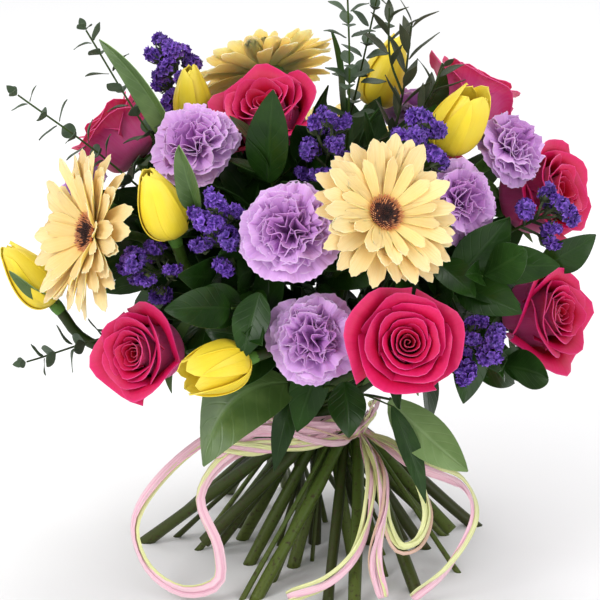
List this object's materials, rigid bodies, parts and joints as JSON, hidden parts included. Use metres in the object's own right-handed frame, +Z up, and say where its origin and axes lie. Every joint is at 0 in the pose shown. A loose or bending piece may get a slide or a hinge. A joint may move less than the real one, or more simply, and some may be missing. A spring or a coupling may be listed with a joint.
{
  "type": "mixed flower bouquet",
  "caption": "Hand-tied mixed bouquet of roses, carnations, gerberas, tulips, statice and foliage, spiralled stems bound with a raffia band and bow, standing on its cut stem ends.",
  "frame": {"origin": "middle of the flat cut foot of the central stem, on the surface that the bouquet stands on", "axes": "+Z up along the middle of the bouquet, -Y out of its front, +X to its right as seen from the front"},
  "size_m": [0.385, 0.3639, 0.3928],
  "materials": {
    "rose": "soft satin petals",
    "carnation": "matt ruffled petals",
    "gerbera_ray": "satin ray petals",
    "gerbera_disc": "matt florets",
    "tulip": "waxy petals",
    "statice": "papery cups",
    "eucalyptus": "matt grey-green leaves",
    "willow": "dull dark leaves",
    "ruscus": "glossy dark leaves",
    "broad_leaf": "satin leaves",
    "stem": "satin green stems",
    "raffia": "matt fibrous strip"
  },
  "bodies": {
    "root": {"broad_leaf_left": "broad_leaf", "broad_leaf_right": "broad_leaf", "carnation_back_left": "carnation", "carnation_back_right": "carnation", "carnation_far_left": "carnation", "carnation_front": "carnation", "carnation_middle": "carnation", "carnation_right": "carnation", "carnation_upper_left": "carnation", "carnation_upper_right": "carnation", "eucalyptus_left": "eucalyptus", "eucalyptus_low_left": "eucalyptus", "eucalyptus_top": "eucalyptus", "eucalyptus_top_back": "eucalyptus", "eucalyptus_upper_left": "eucalyptus", "gerbera_back": "gerbera_ray", "gerbera_back_disc": "gerbera_disc", "gerbera_left": "gerbera_ray", "gerbera_left_disc": "gerbera_disc", "gerbera_middle": "gerbera_ray", "gerbera_middle_disc": "gerbera_disc", "gerbera_top": "gerbera_ray", "gerbera_top_disc": "gerbera_disc", "raffia_band": "raffia", "raffia_bow": "raffia", "rose_back_left": "rose", "rose_back_right": "rose", "rose_far_right": "rose", "rose_front": "rose", "rose_front_left": "rose", "rose_right": "rose", "rose_top": "rose", "rose_top_left": "rose", "rose_top_right": "rose", "ruscus_back": "ruscus", "ruscus_back_left": "ruscus", "ruscus_back_right": "ruscus", "ruscus_far_right": "ruscus", "ruscus_front": "ruscus", "ruscus_low": "ruscus", "ruscus_right": "ruscus", "ruscus_top": "ruscus", "statice_far_left": "statice", "statice_left": "statice", "statice_low_right": "statice", "statice_right": "statice", "statice_top_middle": "statice", "statice_top_right": "statice", "statice_upper_left": "statice", "stems": "stem", "tulip_back": "tulip", "tulip_back_left": "tulip", "tulip_far_left": "tulip", "tulip_front": "tulip", "tulip_left": "tulip", "tulip_top": "tulip", "tulip_upper_left": "tulip", "tulip_upper_right": "tulip", "willow_top": "willow"}
  },
  "joints": []
}
